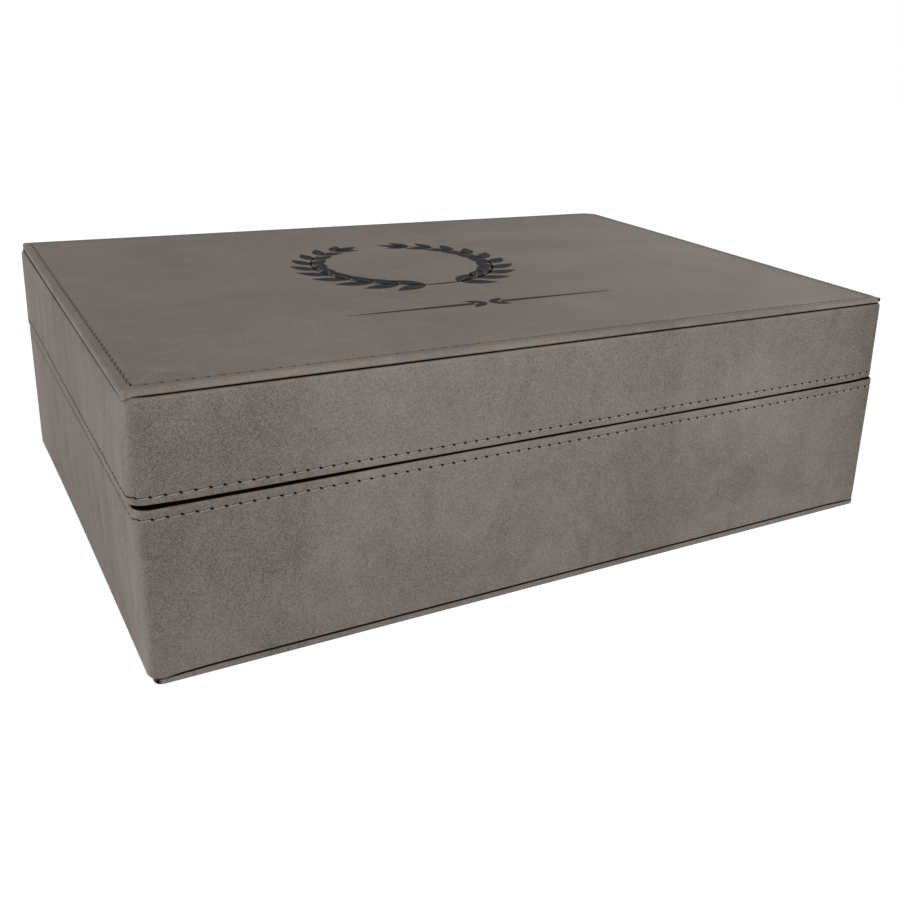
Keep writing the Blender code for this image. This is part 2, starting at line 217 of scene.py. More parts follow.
def sway(place, length, amount, seed):
    """A slow wander of the amount given, up and down over the length given."""
    return amount * noise.noise(place / length + Vector((seed, 7 * seed, 3 * seed)))


def way_at(path, index):
    """The direction of a path at one of its points."""
    return (path[min(index + 1, len(path) - 1)] - path[max(index - 1, 0)]).normalized()


def half_size(low, high):
    return (high.x - low.x) / 2, (high.y - low.y) / 2


class Run:
    """What a skin is lofted along. Its shares weigh the marks on its ends, corners and holes: painted shade,
    rub with painted highlight, and painted light and shade beside the corners.
    """

    closed = True
    hole_share = 1.0
    end_ink = 1.0
    end_crease = 1.0
    end_wear_and_highlight = 1.0
    end_spread = 1.0
    corner_rub = 1.0
    corner_turn = 0.0
    corner_shade = 0.0


class Ring(Run):
    """A rounded rectangle with one row of stitches round it, seen from above and run +X first."""

    def __init__(
        self, half_x, half_y, corner, row_inset, stitches, first_hole, seamed=False, inner=INNER_CORNER
    ):
        self.inner = inner
        self.half_x = half_x
        self.half_y = half_y
        self.corner = corner
        radius, cx, cy = self.measure(row_inset)
        arc = radius * math.pi / 2
        self.lengths = (2 * cx, arc, 2 * cy, arc) * 2
        self.length = sum(self.lengths)
        self.pitch = self.length / stitches
        self.stitches = stitches
        self.first_hole = first_hole
        middle_of_back = sum(self.lengths[:4]) + self.lengths[4] / 2
        self.seam = round((middle_of_back - first_hole) / self.pitch) if seamed else None
        self.columns = self.make_columns()

    def measure(self, inset):
        """The corner's radius at an inset, and where its centre lies."""
        grown = min(self.inner, self.corner + INNER_CORNER_GROWTH * inset)
        radius = max(self.corner - inset, grown)
        return radius, self.half_x - inset - radius, self.half_y - inset - radius

    def find(self, distance):
        """The side or corner at a distance along the row, and the share of it gone by."""
        distance %= self.length
        for index, length in enumerate(self.lengths):
            if distance <= length:
                return index, distance / length
            distance -= length
        return 7, 1.0

    def place(self, part, share, inset):
        """The point of the outline at an inset, and the way out from it."""
        radius, cx, cy = self.measure(inset)
        outward = 1.0 if part in (2, 4) else -1.0
        way = outward * (2 * share - 1)
        if part in (0, 4):
            return (-way * cx, outward * (self.half_y - inset)), (0.0, outward)
        if part in (2, 6):
            return (outward * (self.half_x - inset), way * cy), (outward, 0.0)
        turn = math.pi / 2 * ((part - 3) / 2 + share)
        sign_x = 1 if part in (1, 3) else -1
        sign_y = 1 if part in (3, 5) else -1
        out = (math.cos(turn), math.sin(turn))
        return (sign_x * cx + radius * out[0], sign_y * cy + radius * out[1]), out

    def make_columns(self):
        """Columns of the mesh: part, share, along the stitch, coarse, share of the seam, and the weight at a
        corner's middle for rub with painted highlight, and on the bottom panel for painted shade.
        """
        columns = []
        middle = self.pitch / 2
        lap = [(middle + step * MM, True, 1.0 if step == 0 else 0.0) for step in SEAM_COLUMNS]
        for stitch in range(self.stitches):
            start = self.first_hole + stitch * self.pitch
            marks = [(offset, coarse, 0.0) for offset, coarse in stitch_marks(self.pitch)]
            if stitch == self.seam:
                marks = sorted([mark for mark in marks if mark[0] != middle] + lap)
            for offset, coarse, seam in marks:
                part, share = self.find(start + offset)
                turning = part % 2 == 1
                rub = math.sin(math.pi * share) ** 2 if turning else 0.0
                columns.append((part, share, offset, coarse or turning, seam, rub))
        return columns


class Strip(Run):
    """A straight run along X that faces the back, with needle holes at an even pitch."""

    closed = False

    def __init__(self, half_x, face_y, stitches, margin):
        self.half_x = half_x
        self.face_y = face_y
        self.first_hole = margin
        self.stitches = stitches
        self.pitch = 2 * (half_x - margin) / stitches
        self.columns = [(0, 0.0, self.pitch / 2, True, 0.0, 0.0)]
        for stitch in range(stitches):
            for offset, coarse in stitch_marks(self.pitch):
                share = (margin + stitch * self.pitch + offset) / (2 * half_x)
                self.columns.append((0, share, offset, coarse, 0.0, 0.0))
        self.columns.append((0, 1.0, self.pitch / 2, True, 0.0, 0.0))

    def find(self, distance):
        return 0, distance / (2 * self.half_x)

    def place(self, part, share, inset):
        return (self.half_x * (1 - 2 * share), self.face_y - inset), (0.0, 1.0)


def stitch_marks(pitch):
    """Columns along one stitch, close together at its needle holes, and whether each is a coarse one."""
    near = [step * MM for step in STITCH_COLUMNS]
    offsets = near + [pitch / 2] + [pitch - step for step in reversed(near[1:])]
    return [(offset, number in (0, len(near))) for number, offset in enumerate(offsets)]


def relief(along, across, pitch, hole_share, spread):
    """How far the sewn skin stands out at a point of the row, and how much painted shade its hole and crease
    get.
    """
    share = along / pitch
    past = along if share < 0.5 else along - pitch
    aside = across - mix(CHANNEL_START, CHANNEL_END, share)
    begun = smooth(share, *CHANNEL_BEGINS)
    crease = bell(aside, CHANNEL_WIDTH) * begun
    slanted = across + HOLE_SLANT * past
    far_out = math.hypot(past / HOLE_HALF_LENGTH, slanted / (HOLE_HALF_HEIGHT * hole_share))
    # The needle hole and the crease just above the thread are darkened with painted shade
    hole = fade(far_out, *HOLE_WALL)
    swell = math.sin(math.pi * share) ** 2
    lips = bell(abs(aside) - PUFF_DISTANCE, PUFF_WIDTH)
    height = PUFF * swell * lips - CHANNEL_DEPTH * crease * (1 - hole) - HOLE_DEPTH * hole
    shade = bell(aside - SHADE_ABOVE, SHADE_WIDTH * spread) * begun
    return height, hole, CREASE_SHADE * shade


def arc_rows(
    centre_inset, centre_height, radius, start, end, fine=False, ink=(0.0, 0.0), shade_turn=SHADE_TURN
):
    """Rows round an arc of the section, with painted shade that changes from its start to its end, and rub
    with a painted highlight over the arc where it isn't shaded all through.
    """
    rows = []
    for step in range(ARC_STEPS + 1):
        share = step / ARC_STEPS
        turn = mix(start, end, share)
        out, up = math.cos(turn), math.sin(turn)
        dark = mix(ink[0], ink[1], smooth(share, *shade_turn))
        # Rub with a painted highlight over the arc's middle, except on the arc that is all painted shade
        wear = math.sin(math.pi * share) if ink != (RIM_SHADE, RIM_SHADE) else 0.0
        inset, height = centre_inset - radius * out, centre_height + radius * up
        rows.append(Row(inset, height, out, up, None, fine, dark, wear))
    return rows


def band_offsets():
    """Distances of the fine rows from the row of stitches that they carry."""
    steps = [step * MM for step in BAND_ROWS]
    return [-step for step in reversed(steps[1:])] + steps


def band_rows(height, up=1):
    """The fine rows on an upright face, from below, or from above where up is -1."""
    return [Row(0.0, height + offset, 1.0, 0.0, offset, True) for offset in band_offsets()[::up]]


def wall_rows(rim, panel_side, row_height, edge):
    """The closed section of a wall's skin, from inside over the rim to the panel side and back."""
    up = 1 if panel_side > rim else -1
    quarter = up * math.pi / 2
    rim_centre = rim + up * RIM_EDGE
    rows = [Row(TURN_IN_FACE, rim + up * depth, -1.0, 0.0) for depth in (TURN_IN, TURN_IN_ROW)]
    # Black painted shade over both rims, for the gap between the lid and the base
    rows += arc_rows(
        TURN_IN_FACE - RIM_EDGE, rim_centre, RIM_EDGE, -2 * quarter, -quarter, True, (RIM_SHADE, RIM_SHADE)
    )
    shade_turn = LID_RIM_SHADE_TURN if up > 0 else BASE_RIM_SHADE_TURN
    rows += arc_rows(RIM_EDGE, rim_centre, RIM_EDGE, -quarter, 0, True, (RIM_SHADE, 0.0), shade_turn)
    rows += band_rows(row_height, up)
    first = row_height + up * PLAIN_ROW_START
    last = panel_side - up * edge
    count = max(4, round(abs(last - first) / PLAIN_ROW_STEP))
    rows += [Row(0.0, mix(first, last, step / count), 1.0, 0.0) for step in range(count)]
    # Painted shade where the skin turns in under the panel, for the crevice there
    rows += arc_rows(edge, last, edge, 0, quarter, False, (0.0, CREVICE_SHADE), CREVICE_SHADE_TURN)
    rows.append(Row(TURN_IN, panel_side, 0.0, up, dark=CREVICE_SHADE))
    under_panel = panel_side - up * SKIN
    under_rim = rim + up * SKIN
    inner_rows = (
        (TURN_IN, under_panel, 0.0, -up),
        (edge, under_panel, 0.0, -up),
        (SKIN, last, -1.0, 0.0),
        (SKIN, rim_centre, -1.0, 0.0),
        (RIM_EDGE, under_rim, 0.0, up),
        (TURN_IN_FACE - RIM_EDGE, under_rim, 0.0, up),
        (TURN_IN_FACE - SKIN, rim_centre, 1.0, 0.0),
        (TURN_IN_FACE - SKIN, rim + up * TURN_IN, 1.0, 0.0),
    )
    return rows + [Row(*numbers) for numbers in inner_rows]


def corner_light_and_shade(x, y, side):
    """How much painted light an end gets beside the upright corners. Below 0, how much painted shade a long
    side gets.
    """
    end = smooth(side, *END_TURN)
    paler = end * bell(HALF_Y - abs(y), PALER_REACH)
    deeper = (1 - end) * bell(HALF_X - abs(x), DEEPER_REACH)
    return PALER_SHARE * paler - deeper


def lofted_skin(name, run, rows, form, caps=()):
    """A skin lofted through a closed section of rows. Coarse rows leave out the fine columns."""
    points, loops = [], []
    marks = {"dark": [], "wear": [], "turn": []}
    for row in rows:
        loop = {}
        for index, (part, share, along, coarse, seam, rub) in enumerate(run.columns):
            if not (row.fine or coarse):
                continue
            (x, y), out = run.place(part, share, row.inset)
            side = abs(out[0])
            out_by, hole, crease = 0.0, 0.0, 0.0
            if row.across is not None:
                spread = mix(1, run.end_spread, side)
                out_by, hole, crease = relief(along, row.across, run.pitch, run.hole_share, spread)
            out_by -= seam * SEAM_DEPTH
            x += out[0] * row.out * out_by
            y += out[1] * row.out * out_by
            loop[index] = len(points)
            points.append(form(Vector((x, y + MIDDLE_Y, row.height + row.up * out_by))))
            crease *= mix(1, run.end_crease, side)
            ink = row.dark * mix(1, run.end_ink, side)
            # Painted shade in the holes, creases, rims' gap, crevices, the seam's groove and the bottom
            # panel's corners
            marks["dark"].append(max(hole, crease, ink, SEAM_SHADE * seam, run.corner_shade * rub))
            # Rub with a painted highlight on the roundings, the corners and the panel's edges
            marks["wear"].append(max(rub * run.corner_rub, row.wear * mix(1, run.end_wear_and_highlight, side)))
            # Painted light on the ends and painted shade on the long sides beside the upright corners
            marks["turn"].append(run.corner_turn * corner_light_and_shade(x, y, side))
        loops.append(loop)
    return make_piece(name, points, loft_faces(run, loops, caps), marks)


def loft_faces(run, loops, caps):
    """Faces from each loop to the next, with the fine columns that only one of the two has."""
    faces = []
    count = len(run.columns)
    for lower, upper in zip(loops, loops[1:] + loops[:1]):
        shared = sorted(set(lower) & set(upper))
        spans = list(zip(shared, shared[1:]))
        if run.closed:
            spans.append((shared[-1], shared[0] + count))
        for start, end in spans:
            near = [lower[i % count] for i in range(start, end + 1) if i % count in lower]
            far = [upper[i % count] for i in range(start, end + 1) if i % count in upper]
            faces.append(near + far[::-1])
    faces += [list(loops[number].values()) for number in caps]
    if not run.closed:
        faces += [[loop[end] for loop in loops] for end in (0, count - 1)]
    return faces


def tube_faces(start, rings, count):
    """Side faces and both end faces of a tube whose rings have the same count of points."""
    faces = []
    end = start + (rings - 1) * count
    for low in range(start, end, count):
        for index in range(count):
            following = (index + 1) % count
            faces.append((low + index, low + following, low + count + following, low + count + index))
    return faces + [tuple(range(start, start + count)), tuple(range(end, end + count))]


def make_piece(name, points, faces, marks=None, sharp=SHARP_ANGLE):
    """An object of one closed mesh with its faces pointing out, and marks on its points."""
    mesh = bpy.data.meshes.new(name)
    mesh.from_pydata(points, [], faces)
    for label, values in (marks or {}).items():
        mesh.attributes.new(label, "FLOAT", "POINT").data.foreach_set("value", values)
    work = bmesh.new()
    work.from_mesh(mesh)
    bmesh.ops.recalc_face_normals(work, faces=work.faces)
    work.to_mesh(mesh)
    work.free()
    mesh.shade_smooth()
    mesh.set_sharp_from_angle(angle=sharp)
    piece = bpy.data.objects.new(name, mesh)
    bpy.context.scene.collection.objects.link(piece)
    return piece


def threads_piece(name, paths):
    """Round threads along open paths of points."""
    points, faces = [], []
    for path in paths:
        faces += tube_faces(len(points), len(path), THREAD_SIDES)
        for index, point in enumerate(path):
            way = way_at(path, index)
            side = way.cross(THREAD_ASIDE).normalized()
            rise = side.cross(way)
            for corner in range(THREAD_SIDES):
                turn = 2 * math.pi * corner / THREAD_SIDES
                points.append(point + (side * math.cos(turn) + rise * math.sin(turn)) * THREAD_RADIUS)
    return make_piece(name, points, faces)


# Each thread comes up out of its hole, lies in its channel and dives into the next hole
THREAD_PATH = (
    (0.13, -0.75), (0.18, -0.45), (0.24, -0.18), (0.35, -0.05), (0.54, 0.0),
    (0.70, -0.04), (0.79, -0.16), (0.85, -0.42), (0.89, -0.75),
)


def sewn_thread(name, run, spot, form):
    """One short thread for each stitch, from hole to hole. spot gives a point of the surface."""
    paths = []
    for stitch in range(run.stitches):
        path = []
        for share, height in THREAD_PATH:
            across = mix(CHANNEL_START, CHANNEL_END, share)
            part, along = run.find(run.first_hole + (stitch + share) * run.pitch)
            path.append(form(spot(part, along, across, height * MM)))
        paths.append(path)
    return threads_piece(name, paths)


# Where the skins leave the straight walls. An eased amount comes with its start and its end,
# a gathered one with its reach, and a sway is a length, an amount and a seed
CORNER_REACH = (1 * MM, 9 * MM)
FRONT_REACH = (3 * MM, 20 * MM)
FACE_DEPTH = 1.5 * MM
LID_RISE = 0.1 * MM
LID_BOW = (0.13 * MM, 60 * MM, 110 * MM)
LID_EAR = (0.42 * MM, 137 * MM, 153 * MM)
LID_SWAY = (38 * MM, 0.09 * MM, 2)
LID_LEFT_LIFT = (0.22 * MM, HALF_X - 8 * MM, HALF_X - 2 * MM)
LID_LIFT_HEIGHTS = (20 * MM, 33 * MM)
LID_TUCK = (0.35 * MM, 0.15 * MM)
LID_TUCK_REACH = 2.4 * MM
BASE_DROP = (-0.5 * MM, 40 * MM, 120 * MM)
BASE_EAR = (0.25 * MM, 140 * MM, 150 * MM)
BASE_SWAY = (42 * MM, 0.09 * MM, 5)
FOOT_REACH = 7 * MM
FOOT_SAG = (0.5 * MM, 134 * MM, 154 * MM)
FOOT_CORNER_SAG = 1.1 * MM
FOOT_TUCK = 0.4 * MM
FOOT_TUCK_REACH = 2 * MM
PANEL_EAR = (1.2 * MM, 1.5 * MM)
PANEL_SWAY = (30 * MM, 0.12 * MM, 4)
PANEL_RIGHT_SAG = (0.5 * MM, 3.2 * MM)
PANEL_DROOP = (0.6 * MM, 80 * MM, HALF_X)
PANEL_DROOP_REACH = (-60 * MM, HALF_Y)
PANEL_PULL = (0.9 * MM, 2.6 * MM)
PANEL_RIGHT = 0.3 * MM
FOOT_PANEL_LEFT = (0.3 * MM, 140 * MM, 150 * MM)


def corner_share(place):
    """1 at the upright corners, none along the sides."""
    share = fade(HALF_X - abs(place.x), *CORNER_REACH)
    return share * fade(HALF_Y - abs(place.y - MIDDLE_Y), *CORNER_REACH)


def front_share(place):
    """1 on the front face, none on the others."""
    return fade(place.y - LID_LOW.y, *FRONT_REACH)


def right_share(place):
    """1 at the right side, none further from it than the lean reaches."""
    return smooth(place.x, HALF_X - LEAN_REACH, HALF_X)


def outer_share(place):
    """1 at the walls' faces, and 0 from where the skin turns down inside the rim."""
    inset = min(HALF_X - abs(place.x), HALF_Y - abs(place.y - MIDDLE_Y))
    return fade(inset, FACE_DEPTH, TURN_IN_FACE)


def shifted(place, general, left, bow=1.0):
    """Sideways shift: the general one, and towards the left side that side's own, from near to far."""
    there = mix(*left, max(0.0, (place.y - LID_LOW.y) / (2 * HALF_Y)) ** bow)
    return mix(general, there, smooth(-place.x, HALF_X - LEAN_REACH, HALF_X))


def foot_sag(place):
    """How far the foot's skin and the bottom panel's top edge sag near the upright corners."""
    return eased(abs(place.x), *FOOT_SAG)


def lid_form(place):
    """The lid's rim rises towards the front corners, and turns up a little more right at them."""
    above = place.z - LID_LOW.z
    near_rim = fade(above, 0, RIM_BOW_REACH)
    bow = eased(abs(place.x), *LID_BOW) + LID_RISE
    ear = eased(abs(place.x), *LID_EAR)
    rise = front_share(place) * (bow * near_rim + ear * fade(above, 0, RIM_EAR_REACH))
    rise += sway(place, *LID_SWAY) * near_rim
    rise += eased(-place.x, *LID_LEFT_LIFT) * smooth(above, *LID_LIFT_HEIGHTS)
    tuck = corner_share(place) * mix(*LID_TUCK, right_share(place))
    tuck *= smooth(place.z, LID_HIGH.z - LID_TUCK_REACH, LID_HIGH.z)
    share = above / (LID_HIGH.z - LID_LOW.z)
    left = [mix(rim, top, share) for rim, top in zip(LID_RIM_LEFT, LID_TOP_LEFT)]
    shift = shifted(place, LID_SHIFT, left) - math.copysign(tuck, place.x)
    shift += right_share(place) * mix(*LID_RIGHT, share)
    shift *= outer_share(place)
    return moved(place, shift, tuck, rise)


def base_form(place):
    """The base's rim drops to the left, and its foot sags over the panel's corners."""
    above = place.z - BASE_LOW.z
    near_rim = fade(BASE_HIGH.z - place.z, 0, RIM_BOW_REACH)
    drop = eased(-place.x, *BASE_DROP) + eased(place.x, *BASE_EAR)
    rise = front_share(place) * drop * near_rim
    rise += sway(place, *BASE_SWAY) * near_rim
    sag = foot_sag(place) + FOOT_CORNER_SAG * corner_share(place)
    rise += (FOOT_LIFT - sag) * fade(above, 0, FOOT_REACH)
    share = place.z / BASE_HIGH.z
    left = [mix(foot, rim, share) for foot, rim in zip(BASE_FOOT_LEFT, BASE_RIM_LEFT)]
    shift = shifted(place, BASE_SHIFT, left, mix(*BASE_LEFT_BOW, share))
    shift += right_share(place) * mix(*BASE_RIGHT, share)
    shift *= outer_share(place)
    tuck = corner_share(place) * FOOT_TUCK * max(0.0, 1 - above / FOOT_TUCK_REACH) ** 2
    shift -= math.copysign(tuck, place.x)
    return moved(place, shift, tuck, rise)


def moved(place, shift, tuck, rise):
    """A place moved sideways and up, and tucked in from the front and the back."""
    back = -math.copysign(tuck, place.y - MIDDLE_Y)
    return Vector((place.x + shift, place.y + back, place.z + rise))


def upright_spot(run, row_height):
    """The function that gives points of an upright face beside its row of stitches."""
    def spot(part, share, across, height):
        (x, y), out = run.place(part, share, 0.0)
        return Vector((x + out[0] * height, y + out[1] * height + MIDDLE_Y, row_height + across))

    return spot


def build_wall(half, rim, panel_side, row_height, edge, first_hole, form, **shares):
    """The leatherette over the walls of the lid or the base, and the thread along its rim."""
    ring = Ring(HALF_X, HALF_Y, CORNER, 0.0, WALL_STITCHES, first_hole, seamed=True)
    # The walls' corners get a little rub with painted highlight, and painted light and shade beside them
    vars(ring).update(corner_rub=0.15, corner_turn=1.0, **shares)
    skin = lofted_skin(half + "_skin", ring, wall_rows(rim, panel_side, row_height, edge), form)
    return skin, sewn_thread(half + "_rim_thread", ring, upright_spot(ring, row_height), form)


def panel_form(place):
    """The top panel's leatherette gathers in a small ear under each corner, and droops to the right."""
    corner = math.hypot(
        abs(place.x) - PANEL_HIGH.x, abs(place.y - MIDDLE_Y) - (PANEL_HIGH.y - MIDDLE_Y)
    )
    low = fade(place.z, PANEL_LOW.z, PANEL_HIGH.z)
    right = right_share(place)
    dip = gathered(corner, *PANEL_EAR) * low * (1 - right)
    dip -= sway(place, *PANEL_SWAY) * low
    dip += gathered(corner, *PANEL_RIGHT_SAG) * right
    droop = eased(place.x, *PANEL_DROOP) * smooth(-place.y, *PANEL_DROOP_REACH) * (1 - low)
    pull = gathered(corner, *PANEL_PULL) * right
    shift = shifted(place, LID_SHIFT, PANEL_LEFT) - PANEL_RIGHT * right - pull
    return moved(place, shift, pull, -dip - droop)


# The thin panels on the lid and under the base
PANEL_CORNER = 1.2 * MM
PANEL_INNER_CORNER = 2.0 * MM
PANEL_EDGE = 0.8 * MM
PANEL_ROW_SIDES = (-1.6 * MM, 2 * MM, 8 * MM)
FOOT_CORNER = 2.8 * MM
FOOT_EDGE = 0.6 * MM
FOOT_INSET = 4 * MM


def build_top_panel():
    half_x, half_y = half_size(PANEL_LOW, PANEL_HIGH)
    ring = Ring(
        half_x, half_y, PANEL_CORNER, PANEL_ROW, PANEL_STITCHES, PANEL_FIRST_HOLE,
        inner=PANEL_INNER_CORNER,
    )
    ring.hole_share = 1.15
    # Rub with a painted highlight along the panel's edges on the ends
    ring.end_wear_and_highlight = 2.4
    top, low, edge = PANEL_HIGH.z, PANEL_LOW.z, PANEL_EDGE
    # Painted shade on the panel's lowest row and underside for the crevice; rub with a painted highlight on
    # the row above
    rows = [Row(0.0, low, 1.0, 0.0, dark=PANEL_LOW_SHADE), Row(0.0, mix(low, top, 0.25), 1.0, 0.0, wear=1.1)]
    rows += [row._replace(wear=0.15 * row.wear) for row in arc_rows(edge, top - edge, edge, 0, math.pi / 2)]
    outer, inner, inmost = [Row(PANEL_ROW + side, top, 0.0, 1.0) for side in PANEL_ROW_SIDES]
    rows.append(outer)
    rows += [Row(PANEL_ROW + offset, top, 0.0, 1.0, offset, True) for offset in band_offsets()]
    rows += [inner, inmost]
    cap = len(rows) - 1
    rows += [
        Row(inmost.inset, top - SKIN, 0.0, -1.0),
        Row(SKIN + edge, top - SKIN, 0.0, -1.0),
        Row(SKIN, top - edge - SKIN, -1.0, 0.0),
        Row(SKIN, low, -1.0, 0.0, dark=CREVICE_SHADE),
    ]
    skin = lofted_skin("top_panel_skin", ring, rows, panel_form, caps=(cap, cap + 1))

    def spot(part, share, across, height):
        (x, y), out = ring.place(part, share, PANEL_ROW + across)
        return Vector((x, y + MIDDLE_Y, top + height))

    return skin, sewn_thread("top_panel_thread", ring, spot, panel_form)


def build_bottom_panel():
    half_x, half_y = half_size(FOOT_LOW, FOOT_HIGH)
    ring = Ring(half_x, half_y, FOOT_CORNER, 0.0, WALL_STITCHES, 0.0)
    # Painted shade at the middle of each rounded corner, in the fold there
    ring.corner_shade = 0.8
    top, low, edge = FOOT_HIGH.z, FOOT_LOW.z, FOOT_EDGE
    # Painted shade on the panel's top edge, for the crevice under the base's foot
    rows = [Row(SKIN, top, -1.0, 0.0, dark=CREVICE_SHADE), Row(0.0, top, 1.0, 0.0, dark=FOOT_TOP_SHADE)]
    rows.append(Row(0.0, mix(top, low, 0.3), 1.0, 0.0))
    rows += arc_rows(edge, low + edge, edge, 0, -math.pi / 2)
    rows.append(Row(FOOT_INSET, low, 0.0, -1.0))
    cap = len(rows) - 1
    rows += [
        Row(FOOT_INSET, low + SKIN, 0.0, 1.0),
        Row(SKIN + edge, low + SKIN, 0.0, 1.0),
        Row(SKIN, low + edge + SKIN, -1.0, 0.0),
    ]

    def form(place):
        rise = (FOOT_LIFT - foot_sag(place)) * smooth(place.z, 0, FOOT_HIGH.z)
        shift = BASE_SHIFT + right_share(place) * BASE_RIGHT[0] + eased(-place.x, *FOOT_PANEL_LEFT)
        return Vector((place.x + shift, place.y, place.z + rise))

    return lofted_skin("bottom_panel_skin", ring, rows, form, caps=(cap, cap + 1))


# The hinge strip outside the back joint, sewn along both long edges
STRIP_STITCHES = 68
STRIP_ROW = 1.9 * MM
STRIP_EDGE = 0.2 * MM
STRIP_MARGIN = 3 * MM
STRIP_GROOVE = 0.22 * MM
STRIP_GROOVE_WIDTH = 0.8
STRIP_SHADE_WIDTH = 0.5
STRIP_BEND_ROWS = (-4.5, -2.4, -1.6, -0.9, -0.35, 0.0, 0.35, 0.9, 1.6, 2.4, 4.5)


def build_hinge_strip():
    """One strip of leatherette that bends across the back joint, with a shallow groove there."""
    half_x = half_size(STRIP_LOW, STRIP_HIGH)[0]
    run = Strip(half_x, STRIP_HIGH.y - MIDDLE_Y, STRIP_STITCHES, STRIP_MARGIN)
    low, high = STRIP_LOW.z, STRIP_HIGH.z
    base_row, lid_row = low + STRIP_ROW, high - STRIP_ROW
    bend = [(JOINT_Z + step * MM, STRIP_GROOVE * bell(step, STRIP_GROOVE_WIDTH)) for step in STRIP_BEND_ROWS]
    rows = arc_rows(STRIP_EDGE, low + STRIP_EDGE, STRIP_EDGE, -math.pi / 2, 0)
    rows += band_rows(base_row)
    # Painted shade along the middle of the groove where the strip bends across the joint
    for (height, groove), step in zip(bend, STRIP_BEND_ROWS):
        rows.append(Row(groove, height, 1.0, 0.0, dark=GROOVE_SHADE * bell(step, STRIP_SHADE_WIDTH)))
    rows += band_rows(lid_row)
    rows += arc_rows(STRIP_EDGE, high - STRIP_EDGE, STRIP_EDGE, 0, math.pi / 2)
    rows.append(Row(SKIN, high, -1.0, 0.0))
    rows += [Row(SKIN + groove, height, -1.0, 0.0) for height, groove in reversed(bend)]
    rows.append(Row(SKIN, low, -1.0, 0.0))
    strip = lofted_skin("hinge_strip", run, rows, Vector)
    base_thread = sewn_thread("hinge_thread_base", run, upright_spot(run, base_row), Vector)
    lid_thread = sewn_thread("hinge_thread_lid", run, upright_spot(run, lid_row), Vector)
    return strip, base_thread, lid_thread


# The cloth inside the joint: down the base's wall, over both rims to the hinge, and up the lid's
LINER_THICK = 0.2 * MM
LINER_GAP = 0.14 * MM
LINER_FOLD_Y = HINGE_Y - 1.2 * MM
LINER_TURN = 0.9 * MM
LINER_UPRIGHT_SHARES = (1, 0.72, 0.4)
LINER_UPRIGHT_END = 2.4 * MM
LINER_LEVEL_SHARES = (0.35, 0.7, 1.0)
LINER_COLUMNS = 96
LINER_RIPPLE = (14 * MM, 0.22 * MM, 9)
LINER_RIPPLE_BEGINS = (2 * MM, 8 * MM)
LINER_RIPPLE_ENDS = (9 * MM, 13 * MM)


def liner_path():
    """Middle line of the cloth in the section, from the base's end to the lid's: y, z."""
    wall_y = (LINER_LOW.y + LINER_HIGH.y) / 2
    reach = (LINER_HIGH.z - LINER_LOW.z) / 2
    half = [(wall_y, -reach * share) for share in LINER_UPRIGHT_SHARES] + [(wall_y, -LINER_UPRIGHT_END)]
    for step in range(ARC_STEPS + 1):
        turn = math.pi / 2 * step / ARC_STEPS
        over, down = LINER_TURN * (1 - math.cos(turn)), LINER_TURN * (1 - math.sin(turn))
        half.append((wall_y + over, -LINER_GAP - down))
    half += [(mix(wall_y + LINER_TURN, LINER_FOLD_Y, share), -LINER_GAP) for share in LINER_LEVEL_SHARES]
    return half + [(LINER_FOLD_Y + LINER_GAP, 0.0)] + [(y, -z) for y, z in reversed(half)]


def build_hinge_liner():
    """The cloth of the joint, and the size it was cut to."""
    path = [Vector((0, y, JOINT_Z + z)) for y, z in liner_path()]
    half_x = half_size(LINER_LOW, LINER_HIGH)[0]
    sides = []
    for index, point in enumerate(path):
        way = way_at(path, index)
        side = Vector((0, -way.z, way.y)) * LINER_THICK / 2
        sides.append((point + side, point - side))
    section = [a for a, b in sides] + [b for a, b in reversed(sides)]
    points = []
    for column in range(LINER_COLUMNS + 1):
        x = mix(-half_x, half_x, column / LINER_COLUMNS)
        for point in section:
            away = abs(point.z - JOINT_Z)
            ripple = sway(Vector((x, 0, point.z)), *LINER_RIPPLE) * smooth(away, *LINER_RIPPLE_BEGINS)
            ripple *= fade(away, *LINER_RIPPLE_ENDS)
            points.append(Vector((x, point.y - abs(ripple), point.z)))
    liner = make_piece("hinge_liner", points, tube_faces(0, LINER_COLUMNS + 1, len(section)))
    return liner, (2 * half_x, sum((b - a).length for a, b in zip(path, path[1:])))


# Foam pads under flocked cloth: rolled edges, pulled in between the corners, gently crowned
PAD_GRID = (0.0, 0.12, 0.35, 0.75, 1.3, 2.2, 3.6, 6.0, 9.0)
PAD_ROLL = 1.5 * MM
PAD_PULL = 0.7 * MM
PAD_CROWN = 0.5 * MM
PAD_CROWN_REACH = 30 * MM
PAD_DIMPLES = (24 * MM, 0.16 * MM, 11)
PAD_DIMPLE_REACH = (1 * MM, 12 * MM)
PAD_STEP = 7 * MM
PAD_SHARP_ANGLE = math.radians(70)


def pad_marks(half):
    """Grid places from one edge of a pad to the other, close together at the edges."""
    near = [step * MM for step in PAD_GRID]
    first, last = near[-1], 2 * half - near[-1]
    count = round((2 * half - 2 * first) / PAD_STEP)
    middle = [mix(first, last, step / count) for step in range(1, count)]
    return near + middle + [2 * half - step for step in reversed(near)]


